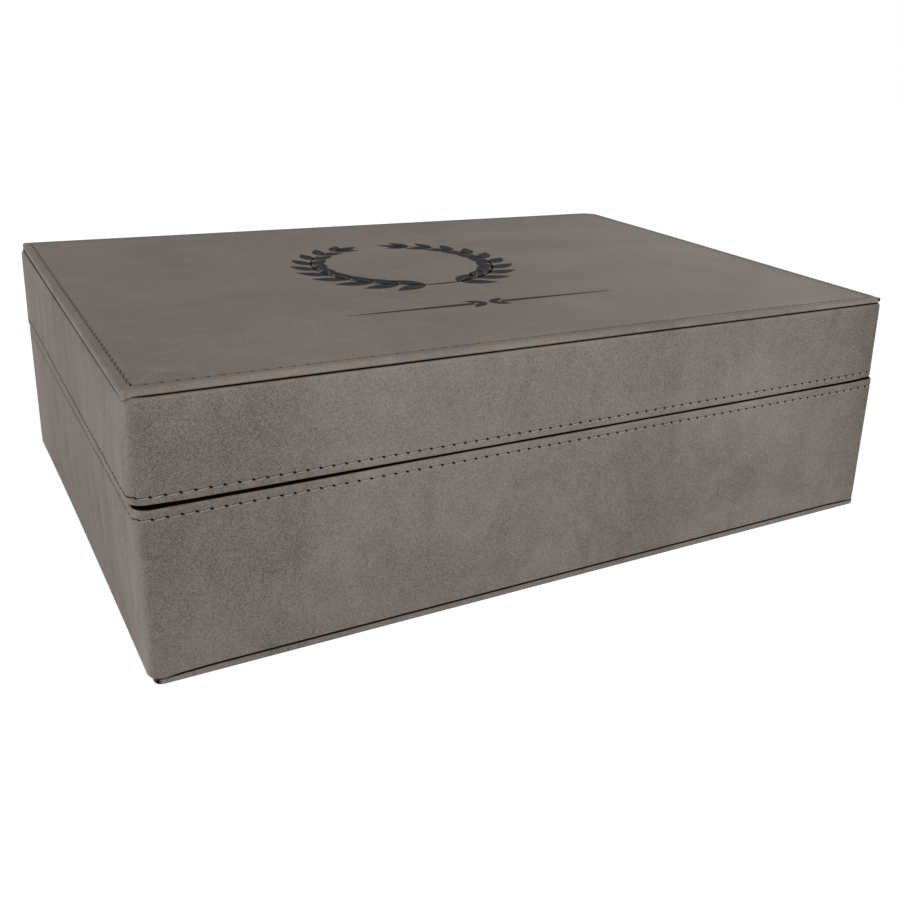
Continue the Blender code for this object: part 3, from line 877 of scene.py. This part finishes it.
def build_pad(name, node, way):
    """A soft pad in a node's place, flat on its glued side. way is +1 where it faces up."""
    low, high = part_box(node)
    half_x, half_y = half_size(low, high)
    thick = high.z - low.z
    glued = low.z if way > 0 else high.z
    marks_x, marks_y = pad_marks(half_x), pad_marks(half_y)
    points, sides = [], []
    for pull in (PAD_PULL, 0.0):
        rows = []
        for across in marks_y:
            rows.append([])
            for along in marks_x:
                edge = min(along, 2 * half_x - along, across, 2 * half_y - across)
                share_x, share_y = along / half_x - 1, across / half_y - 1
                x = share_x * half_x * (1 - pull / half_x * (1 - share_y ** 2) * share_x ** 4)
                y = share_y * half_y * (1 - pull / half_y * (1 - share_x ** 2) * share_y ** 4)
                height = 0.0
                if pull:
                    inward = max(0.0, PAD_ROLL - edge)
                    roll = PAD_ROLL - math.sqrt(max(0.0, PAD_ROLL ** 2 - inward ** 2))
                    crown = PAD_CROWN * (smooth(edge, 0, PAD_CROWN_REACH) - 1)
                    dimple = sway(Vector((x, y, glued)), *PAD_DIMPLES) * smooth(edge, *PAD_DIMPLE_REACH)
                    height = thick - roll + crown + dimple
                rows[-1].append(len(points))
                points.append(Vector((x, y + MIDDLE_Y, glued + way * height)))
        sides.append(rows)
    soft, flat = sides
    pairs = [pair for rows in sides for pair in zip(rows, rows[1:])]
    pairs += [(soft[0], flat[0]), (soft[-1], flat[-1])]
    pairs += [([row[end] for row in soft], [row[end] for row in flat]) for end in (0, -1)]
    faces = []
    for upper, lower in pairs:
        for index in range(len(upper) - 1):
            faces.append((upper[index], upper[index + 1], lower[index + 1], lower[index]))
    return make_piece(name, points, faces, sharp=PAD_SHARP_ANGLE)


# A laurel wreath and a tapered line under it, burnt into the lid: common ornament in dark ink
WREATH_CENTRE = (-12 * MM, 15 * MM)
WREATH_RADIUS = 40 * MM
WREATH_OPENING = math.radians(24)
LEAF_PAIRS = 10
LEAF_LENGTH = 17 * MM
LEAF_WIDTH = 7.2 * MM
LEAF_TURN = math.radians(33)
LEAF_START = 0.7
LEAF_BELLY = 0.85
LEAF_STEPS = 10
LAST_LEAF_SIZE = 0.72
TIP_LEAF_SIZE = 0.7
VEIN_WIDTH = 0.035
STEM_WIDTH = 1.4 * MM
STEM_TAPER = 0.7
STEM_LAP = 0.06
STEM_STEPS = 32
LINE_PLACE = (-10 * MM, -60 * MM)
LINE_GAP = 6 * MM
LINE_HALF_LENGTH = 58 * MM
LINE_WIDTH = 2.6 * MM
LINE_END_WIDTH = 0.2 * MM
LINE_TAPER = 0.7
LINE_STEPS = 16
LINE_LEAF_FOOT = 0.6 * MM
LINE_LEAF_LENGTH = 9 * MM
LINE_LEAF_WIDTH = 3.4 * MM
LINE_LEAF_TURN = 58
INK_HEIGHT = 0.05 * MM


def leaf_outline(foot, turn, size, length=LEAF_LENGTH, width=LEAF_WIDTH):
    """A pointed leaf from its foot: two bowed sides with a narrow slit of a vein left out."""
    ahead = Vector((math.cos(turn), math.sin(turn)))
    aside = Vector((-ahead.y, ahead.x))
    length, width = length * size, width * size
    halves = []
    for sign in (1, -1):
        outer, inner = [], []
        for step in range(LEAF_STEPS + 1):
            share = step / LEAF_STEPS
            bulge = width / 2 * math.sin(math.pi * share ** LEAF_BELLY)
            vein = VEIN_WIDTH * width * (1 - share) * (1 if 0 < step < LEAF_STEPS else 0)
            outer.append(foot + ahead * length * share + aside * sign * bulge)
            inner.append(foot + ahead * length * share + aside * sign * vein)
        halves.append(outer + inner[-2:0:-1])
    return halves


def band_outline(path, widths):
    """A flat band of changing width along a path."""
    left, right = [], []
    for index, point in enumerate(path):
        way = way_at(path, index)
        aside = Vector((-way.y, way.x)) * widths[index] / 2
        left.append(point + aside)
        right.append(point - aside)
    return left + right[::-1]


def wreath_point(turn):
    return Vector(WREATH_CENTRE) + WREATH_RADIUS * Vector((math.cos(turn), math.sin(turn)))


def wreath_branch(side):
    """A stem from the bottom of the wreath up one side, with leaves in pairs and one at its tip."""
    bottom = -math.pi / 2
    sweep = math.pi - WREATH_OPENING
    shares = [step / STEM_STEPS for step in range(STEM_STEPS + 1)]
    path = [wreath_point(bottom + side * mix(-STEM_LAP, sweep, share)) for share in shares]
    outlines = [band_outline(path, [STEM_WIDTH * (1 - STEM_TAPER * share) for share in shares])]
    for pair in range(LEAF_PAIRS):
        share = (pair + LEAF_START) / LEAF_PAIRS
        turn = bottom + side * sweep * share
        size = mix(1.0, LAST_LEAF_SIZE, share)
        for lean in (LEAF_TURN, -LEAF_TURN):
            heading = turn + side * math.pi / 2 - side * lean
            outlines += leaf_outline(wreath_point(turn), heading, size)
    tip = wreath_point(bottom + side * sweep)
    return outlines + leaf_outline(tip, bottom + side * (sweep + math.pi / 2), TIP_LEAF_SIZE)


def line_half(side):
    """Half of the tapered line, with two of the small leaves at its middle."""
    middle = Vector(LINE_PLACE)
    shares = [step / LINE_STEPS for step in range(LINE_STEPS + 1)]
    path = [middle + Vector((side * mix(LINE_GAP, LINE_HALF_LENGTH, share), 0)) for share in shares]
    widths = [LINE_WIDTH * (1 - share) ** LINE_TAPER + LINE_END_WIDTH for share in shares]
    outlines = [band_outline(path, widths)]
    foot = middle + Vector((side * LINE_LEAF_FOOT, 0))
    for turn in (90 - side * LINE_LEAF_TURN, side * LINE_LEAF_TURN - 90):
        outlines += leaf_outline(foot, math.radians(turn), 1.0, LINE_LEAF_LENGTH, LINE_LEAF_WIDTH)
    return outlines


def build_ornament():
    points, faces = [], []
    for outline in wreath_branch(1) + wreath_branch(-1) + line_half(1) + line_half(-1):
        faces += tube_faces(len(points), 2, len(outline))
        for height in (PANEL_HIGH.z - INK_HEIGHT, PANEL_HIGH.z + INK_HEIGHT):
            points += [Vector((p.x + LID_SHIFT, p.y, height)) for p in outline]
    return make_piece("lid_ornament", points, faces)


# Spans of a noise's value that are spread over the tones or roughnesses wanted
WIDE_SPAN = (0.25, 0.75)
MIDDLE_SPAN = (0.3, 0.7)
RUB_AND_HIGHLIGHT_SPAN = (0.35, 0.7)


class Nodes:
    """The node tree of a new material or world. Each call adds a node and gives its result."""

    def __init__(self, name, owners=bpy.data.materials):
        self.owner = owners.new(name)
        self.owner.use_nodes = True
        self.tree = self.owner.node_tree
        self.tree.nodes.clear()

    def add(self, kind, inputs, result=0, **settings):
        node = self.tree.nodes.new("ShaderNode" + kind)
        for key, value in settings.items():
            setattr(node, key, value)
        for key, value in inputs.items():
            if isinstance(value, bpy.types.NodeSocket):
                self.tree.links.new(value, node.inputs[key])
            else:
                node.inputs[key].default_value = value
        return node.outputs[result]

    def noise(self, scale, detail, roughness=0.5, distortion=0.0, stretch=(1, 1, 1), place=(0, 0, 0)):
        where = self.add("TexCoord", {}, "Object")
        where = self.add("Mapping", {"Vector": where, "Location": place, "Scale": stretch})
        return self.add("TexNoise", {
            "Vector": where, "Scale": scale, "Detail": detail,
            "Roughness": roughness, "Distortion": distortion,
        })

    def remap(self, value, low, high, span=MIDDLE_SPAN):
        inputs = {"Value": value, "From Min": span[0], "From Max": span[1], "To Min": low, "To Max": high}
        return self.add("MapRange", inputs)

    def swing(self, value, amount, span=WIDE_SPAN):
        """A noise made to swing by an amount to both sides of 0."""
        return self.remap(value, -amount, amount, span)

    def math(self, operation, a, b=0.0):
        return self.add("Math", {0: a, 1: b}, operation=operation)

    def total(self, first, *others):
        for part in others:
            first = self.math("ADD", first, part)
        return first

    def attribute(self, name):
        return self.add("Attribute", {}, "Fac", attribute_name=name)

    def apart(self, source, axis="X", middle=0.0):
        """How far a texture coordinate lies from a middle along one axis, without its sign."""
        where = self.add("TexCoord", {}, source)
        part = self.add("SeparateXYZ", {"Vector": where}, axis)
        return self.math("ABSOLUTE", self.math("SUBTRACT", part, middle))

    def blend(self, a, b, factor, how="MIX"):
        return self.add("Mix", {0: factor, 6: a, 7: b}, 2, data_type="RGBA", blend_type=how)

    def bump(self, height, distance, strength, **normal):
        inputs = {"Height": height, "Distance": distance, "Strength": strength}
        return self.add("Bump", {**inputs, **normal})

    def shade(self, name, **inputs):
        return self.add(name, inputs)

    def show(self, shader, output="OutputMaterial"):
        node = self.tree.nodes.new("ShaderNode" + output)
        self.tree.links.new(shader, node.inputs["Surface"])
        return self.owner

    def finish(self, inputs):
        return self.show(self.add("BsdfPrincipled", inputs))


# The leatherette's tones, and its layers of noise: scale, detail, roughness and distortion
LEATHER_TONE = (1.0, 0.876, 0.785)
# The top panel's tone is painted warmer than the walls', against the white reflection on the top
TOP_PAINTED_TONE = (1.03, 0.868, 0.745)
DEEP_TONE = 0.085
PALE_TONE = 0.295
# Pale tone of rubbed edges and of the painted highlight on them
WORN_AND_HIGHLIGHT_TONE = 0.34
# Painted warmth on the ends, to make up for the white of the lamps' reflection on them
END_FACE_PAINTED_TINT = (1.01, 0.985, 0.96, 1)
# Black painted shade, and the span over which the dark mark turns the skin into it
PAINTED_SHADE_COLOUR = (0.009, 0.0045, 0.003, 1)
SHADE_COVER_SPAN = (0.15, 0.7)
# Strength of the painted light and shade beside the upright corners
CORNER_LIGHT_AND_SHADE_STRENGTH = 0.17
CLOUDS = (16, 3.0, 0.5, 0.6)
WISPS = (60, 4.0, 0.62, 1.4)
STREAKS = (120, 4.0, 0.65, 0.8)
STREAK_STRETCH = (1, 1, 0.3)
GRAIN = (3200, 1.0)
PORES = (1300, 1.0)


def tone(level, hue=LEATHER_TONE):
    return tuple(level * part for part in hue) + (1,)


def leatherette(name, stretch, grain_share, hue, drift):
    """Warm grey suede-like leatherette: cloudy mottling, wisps, a fine grain and rubbed edges with a painted
    highlight. It also takes painted light and shade beside the upright corners, and black painted shade
    where its points are marked dark.
    """
    n = Nodes(name)
    clouds = n.noise(*CLOUDS, place=drift)
    wisps = n.noise(*WISPS, stretch=stretch)
    streaks = n.noise(*STREAKS, stretch=STREAK_STRETCH)
    grain = n.noise(*GRAIN)
    pores = n.noise(*PORES)
    value = n.total(
        n.swing(clouds, 0.15),
        n.swing(wisps, 0.13),
        n.math("MULTIPLY", n.swing(streaks, 0.17, MIDDLE_SPAN), n.apart("Normal")),
        n.swing(grain, 0.34 * grain_share),
        n.swing(pores, 0.10 * grain_share),
        n.math("MULTIPLY", n.attribute("turn"), CORNER_LIGHT_AND_SHADE_STRENGTH),
        0.5,
    )
    colour = n.blend(tone(DEEP_TONE, hue), tone(PALE_TONE, hue), value)
    # The ends are tinted warmer, painted against the reflection there
    colour = n.blend(colour, END_FACE_PAINTED_TINT, n.apart("Normal"), "MULTIPLY")
    # Rub with a painted highlight on edges and corners
    rub = n.math("MULTIPLY", n.attribute("wear"), n.remap(wisps, 0.06, 0.28, RUB_AND_HIGHLIGHT_SPAN))
    skin = n.add("BsdfPrincipled", {
        "Base Color": n.blend(colour, tone(WORN_AND_HIGHLIGHT_TONE), rub),
        "Roughness": n.remap(wisps, 0.66, 0.78),
        "Normal": n.bump(grain, 0.03 * MM, 0.6, Normal=n.bump(pores, 0.05 * MM, 0.5)),
        "Specular IOR Level": 0.13, "Sheen Weight": 0.02, "Sheen Roughness": 0.5,
    })
    # Black painted shade laid over the skin where its points are marked dark
    ink = n.shade("BsdfDiffuse", Color=PAINTED_SHADE_COLOUR)
    shade_cover = n.remap(n.attribute("dark"), 0.0, 1.0, SHADE_COVER_SPAN)
    return n.show(n.add("MixShader", {0: shade_cover, 1: skin, 2: ink}))


# Painted shade on the threads of the ends and round the upright corners
THREAD_SHADE = 0.03
THREAD_SHADE_SPAN = (HALF_X - 3 * MM, HALF_X - 1 * MM)


def thread_material(name, deep, pale):
    """Twisted sewing thread, with painted shade on the stitches round the upright corners and on the ends.
    """
    n = Nodes(name)
    twist = n.noise(2600, 1.0)
    colour = n.blend(tone(deep), tone(pale), n.remap(twist, 0.0, 1.0))
    ends = n.remap(n.apart("Object"), 0.0, 0.8, THREAD_SHADE_SPAN)
    return n.finish({
        "Base Color": n.blend(colour, tone(THREAD_SHADE), ends),
        "Roughness": n.remap(twist, 0.45, 0.6),
        "Normal": n.bump(twist, 0.04 * MM, 0.6), "Specular IOR Level": 0.4,
    })


def flock_material():
    n = Nodes("black_flock")
    fibre = n.noise(2400, 2.0, 0.6)
    lay = n.noise(45, 3.0, 0.55, 0.8, (1, 1, 0.4))
    value = n.total(n.remap(fibre, 0.0, 0.5), n.remap(lay, 0.0, 0.5))
    return n.finish({
        "Base Color": n.blend((0.007, 0.007, 0.008, 1), (0.022, 0.022, 0.024, 1), value),
        "Roughness": n.remap(lay, 0.85, 1.0),
        "Normal": n.bump(fibre, 0.08 * MM, 0.8), "Specular IOR Level": 0.2,
        "Sheen Weight": 0.35, "Sheen Roughness": 0.4,
    })


def ink_material():
    """The burnt ornament: the leatherette's black core, matt and finely pitted."""
    n = Nodes("burnt_ink")
    pits = n.noise(1600, 2.0, 0.6)
    cloud = n.noise(60, 2.0)
    value = n.total(n.remap(pits, 0.0, 0.6), n.remap(cloud, 0.0, 0.4))
    return n.finish({
        "Base Color": n.blend((0.010, 0.010, 0.011, 1), (0.030, 0.030, 0.032, 1), value),
        "Roughness": n.remap(pits, 0.75, 0.9),
        "Normal": n.bump(pits, 0.05 * MM, 0.6), "Specular IOR Level": 0.08,
    })


# Painted shade on the boards where they show through gaps: its depth in from the outline, its edge and its
# colour
BOARD_SHADE_DEPTH = 2.6 * MM
BOARD_SHADE_EDGE = 0.4 * MM
BOARD_SHADE = (0.012, 0.012, 0.013, 1)


def board_material(name, deep, pale, fleck_scale, inside, edges):
    """Board with fine flecks. inside and edges say how dark its painted shade is inside the box's outline
    and outside it, where the board shows through gaps under its cover.
    """
    n = Nodes(name)
    fibres = n.noise(fleck_scale, 3.0, 0.65)
    cloud = n.noise(40, 2.0)
    value = n.total(n.remap(fibres, 0.0, 0.7), n.remap(cloud, 0.0, 0.3))
    within = []
    for axis, middle, half in (("X", 0.0, HALF_X), ("Y", MIDDLE_Y, HALF_Y)):
        span = (half - BOARD_SHADE_DEPTH, half - BOARD_SHADE_DEPTH + BOARD_SHADE_EDGE)
        within.append(n.remap(n.apart("Object", axis, middle), 1.0, 0.0, span))
    shade_share = n.remap(n.math("MINIMUM", *within), edges, inside, (0.0, 1.0))
    return n.finish({
        "Base Color": n.blend(n.blend(deep, pale, value), BOARD_SHADE, shade_share),
        "Roughness": n.remap(fibres, 0.8, 0.95),
        "Normal": n.bump(fibres, 0.05 * MM, 0.5), "Specular IOR Level": 0.25,
    })


def magnet_material():
    """Nickel plate, brushed along its length."""
    n = Nodes("nickel")
    brush = n.noise(300, 2.0, 0.6, stretch=(1, 12, 12))
    return n.finish({
        "Base Color": n.blend((0.50, 0.50, 0.51, 1), (0.60, 0.60, 0.61, 1), brush),
        "Metallic": 1.0, "Roughness": n.remap(brush, 0.25, 0.42),
        "Normal": n.bump(brush, 0.01 * MM, 0.4),
    })


# Where the clouds lie on the walls and on the top panel
WALL_DRIFT = (2.8, 0.28, 2.84)
TOP_DRIFT = (0.06, 2.36, 2.38)
WALL_SKIN = leatherette("leatherette_walls", (1.0, 1.0, 0.6), 1.0, LEATHER_TONE, WALL_DRIFT)
# The top's copy of the leatherette, warmer against the reflection on it: painted light
TOP_SKIN = leatherette("leatherette_top", (0.6, 1.0, 1.0), 0.7, TOP_PAINTED_TONE, TOP_DRIFT)
THREAD = thread_material("sewing_thread", 0.225, 0.44)
# A darker copy of the sewing thread: painted shade on the top panel's row
TOP_THREAD_SHADED = thread_material("shaded_top_thread", 0.09, 0.17)
FLOCK = flock_material()
INK = ink_material()
# Fibreboard gets painted shade inside the box's outline, greyboard at its edges
FIBREBOARD = board_material("fibreboard", (0.30, 0.20, 0.12, 1), (0.50, 0.35, 0.22, 1), 900, 0.95, 0.0)
CARD = board_material("greyboard", (0.25, 0.24, 0.22, 1), (0.40, 0.39, 0.36, 1), 700, 0.0, 0.95)
NICKEL = magnet_material()


def dress(piece, material, body, stands_for=()):
    piece.data.materials.clear()
    piece.data.materials.append(material)
    if body:
        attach(piece, body)
    if stands_for:
        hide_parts(*stands_for)
    return piece


def dress_frame_nodes():
    """Materials of the CAD nodes that stay as they are."""
    for name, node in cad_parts.items():
        if "lining" in name or "liner" in name or name.endswith("pad"):
            material = FLOCK
        elif "magnet" in name:
            material = NICKEL
        elif name in ("top_panel_board", "bottom_board"):
            material = CARD
        elif name.endswith("board"):
            material = FIBREBOARD
        else:
            material = WALL_SKIN
        node.data.materials.clear()
        node.data.materials.append(material)


def dress_walls():
    """The leatherette of the lid and of the base, each with its thread."""
    # On the ends the creases' painted shade is darker and wider, and the lid's other painted shade a little
    # lighter
    lid = build_wall(
        "lid", LID_LOW.z, LID_HIGH.z, LID_LOW.z + LID_ROW, LID_TOP_EDGE, LID_FIRST_HOLE, lid_form,
        end_ink=0.85, end_crease=2.2, end_spread=2.1,
    )
    base = build_wall(
        "base", BASE_HIGH.z, BASE_LOW.z, BASE_HIGH.z - BASE_ROW, BASE_FOOT_EDGE, BASE_FIRST_HOLE, base_form,
        end_crease=1.6,
    )
    for half, (skin, thread) in (("lid", lid), ("base", base)):
        dress(skin, WALL_SKIN, half, [half + "_wrap"])
        dress(thread, THREAD, half)


def dress_hinge():
    strip, base_thread, lid_thread = build_hinge_strip()
    dress(strip, WALL_SKIN, None, ["hinge_strip_base", "hinge_strip_lid"])
    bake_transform(strip)
    flat = (STRIP_HIGH.x - STRIP_LOW.x, STRIP_HIGH.z - STRIP_LOW.z)
    dress(base_thread, THREAD, "base")
    dress(lid_thread, THREAD, "lid")
    liner, flat = build_hinge_liner()
    dress(liner, FLOCK, None, ["hinge_liner_base", "hinge_liner_lid"])
    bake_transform(liner)


def dress_pads():
    for name, node, way, body in (
        ("base_floor_cushion", "base_floor_pad", 1, "base"),
        ("lid_cushion", "lid_pad", -1, "lid"),
    ):
        pad = dress(build_pad(name, node, way), FLOCK, body, [node])


# A white surround, a floor whose share of plain shade keeps the shadow, and three soft lamps
WHITE = (1, 1, 1, 1)
FLOOR_COLOUR = (0.8, 0.8, 0.8, 1)
FLOOR_SHADE = (0.36, 0.36, 0.36, 1)
FLOOR_GLOW = 0.87
FLOOR_SIZE = 12
FLOOR_DROP = 0.02 * MM
WORLD_LIGHT = 0.42
LAMPS = (
    ("key", (-2.2, -0.7, 0.5), 1.2, 22.0),
    ("near", (0.20, -0.85, 0.42), 0.5, 3.3),
    ("back", (2.6, 2.6, 0.3), 1.2, 26.0),
)
LAMP_TARGET = Vector((0, 0, 0.05))


def rays_seen(n):
    """1 for camera, glossy and transmission rays, 0 for the rays that light the object."""
    seen = n.add("LightPath", {}, "Is Camera Ray")
    for ray in ("Is Glossy Ray", "Is Transmission Ray"):
        seen = n.math("MAXIMUM", seen, n.add("LightPath", {}, ray))
    return seen


def white_floor():
    """A pale floor that keeps the object's shadow."""
    n = Nodes("floor")
    lit = n.shade("BsdfDiffuse", Color=FLOOR_COLOUR)
    shade = n.shade("BsdfDiffuse", Color=FLOOR_SHADE)
    glow = n.shade("Emission", Color=WHITE, Strength=FLOOR_GLOW)
    shown = n.add("AddShader", {0: shade, 1: glow})
    material = n.show(n.add("MixShader", {0: rays_seen(n), 1: lit, 2: shown}))
    bpy.ops.mesh.primitive_plane_add(size=FLOOR_SIZE, location=(0, 0, -FLOOR_DROP))
    floor = bpy.context.object
    floor.name = "floor"
    floor.data.materials.append(material)
    floor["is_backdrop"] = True


def white_surround():
    n = Nodes("surround", bpy.data.worlds)
    strength = n.remap(rays_seen(n), WORLD_LIGHT, 1.0, (0.0, 1.0))
    background = n.shade("Background", Color=WHITE, Strength=strength)
    bpy.context.scene.world = n.show(background, "OutputWorld")


def add_lamp(name, place, size, watts):
    data = bpy.data.lights.new(name, "AREA")
    data.shape = "DISK"
    data.size = size
    data.energy = watts
    lamp = bpy.data.objects.new(name, data)
    lamp.location = place
    lamp.rotation_euler = (LAMP_TARGET - Vector(place)).to_track_quat("-Z", "Y").to_euler()
    bpy.context.scene.collection.objects.link(lamp)


def add_camera():
    data = bpy.data.cameras.new("camera")
    data.sensor_width = SENSOR_WIDTH
    data.lens = FOCAL_PIXELS / FRAME_PIXELS * SENSOR_WIDTH
    data.shift_x = (FRAME_PIXELS / 2 - OPTICAL_CENTRE[0]) / FRAME_PIXELS
    data.shift_y = (OPTICAL_CENTRE[1] - FRAME_PIXELS / 2) / FRAME_PIXELS
    data.clip_start = CAMERA_NEAR_LIMIT
    camera = bpy.data.objects.new("camera", data)
    turn = (
        Matrix.Rotation(CAMERA_YAW, 4, "Z")
        @ Matrix.Rotation(CAMERA_PITCH, 4, "X")
        @ Matrix.Rotation(CAMERA_ROLL, 4, "Z")
    )
    camera.matrix_world = Matrix.Translation(CAMERA_PLACE) @ turn
    bpy.context.scene.collection.objects.link(camera)
    bpy.context.scene.camera = camera


def main():
    dress_frame_nodes()
    dress_walls()
    skin, thread = build_top_panel()
    dress(skin, TOP_SKIN, "lid", ["top_panel_cover"])
    dress(thread, TOP_THREAD_SHADED, "lid")
    dress(build_ornament(), INK, "lid")
    dress(build_bottom_panel(), WALL_SKIN, "base", ["bottom_cover"])
    dress_hinge()
    dress_pads()
    white_floor()
    white_surround()
    for name, place, size, watts in LAMPS:
        add_lamp(name, place, size, watts)
    add_camera()
    bpy.context.scene.view_settings.view_transform = "Standard"


main()

boxes = {"cad": CAD_BOX, "visual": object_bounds()}
{name: [list(low), list(high)] for name, (low, high) in boxes.items()}
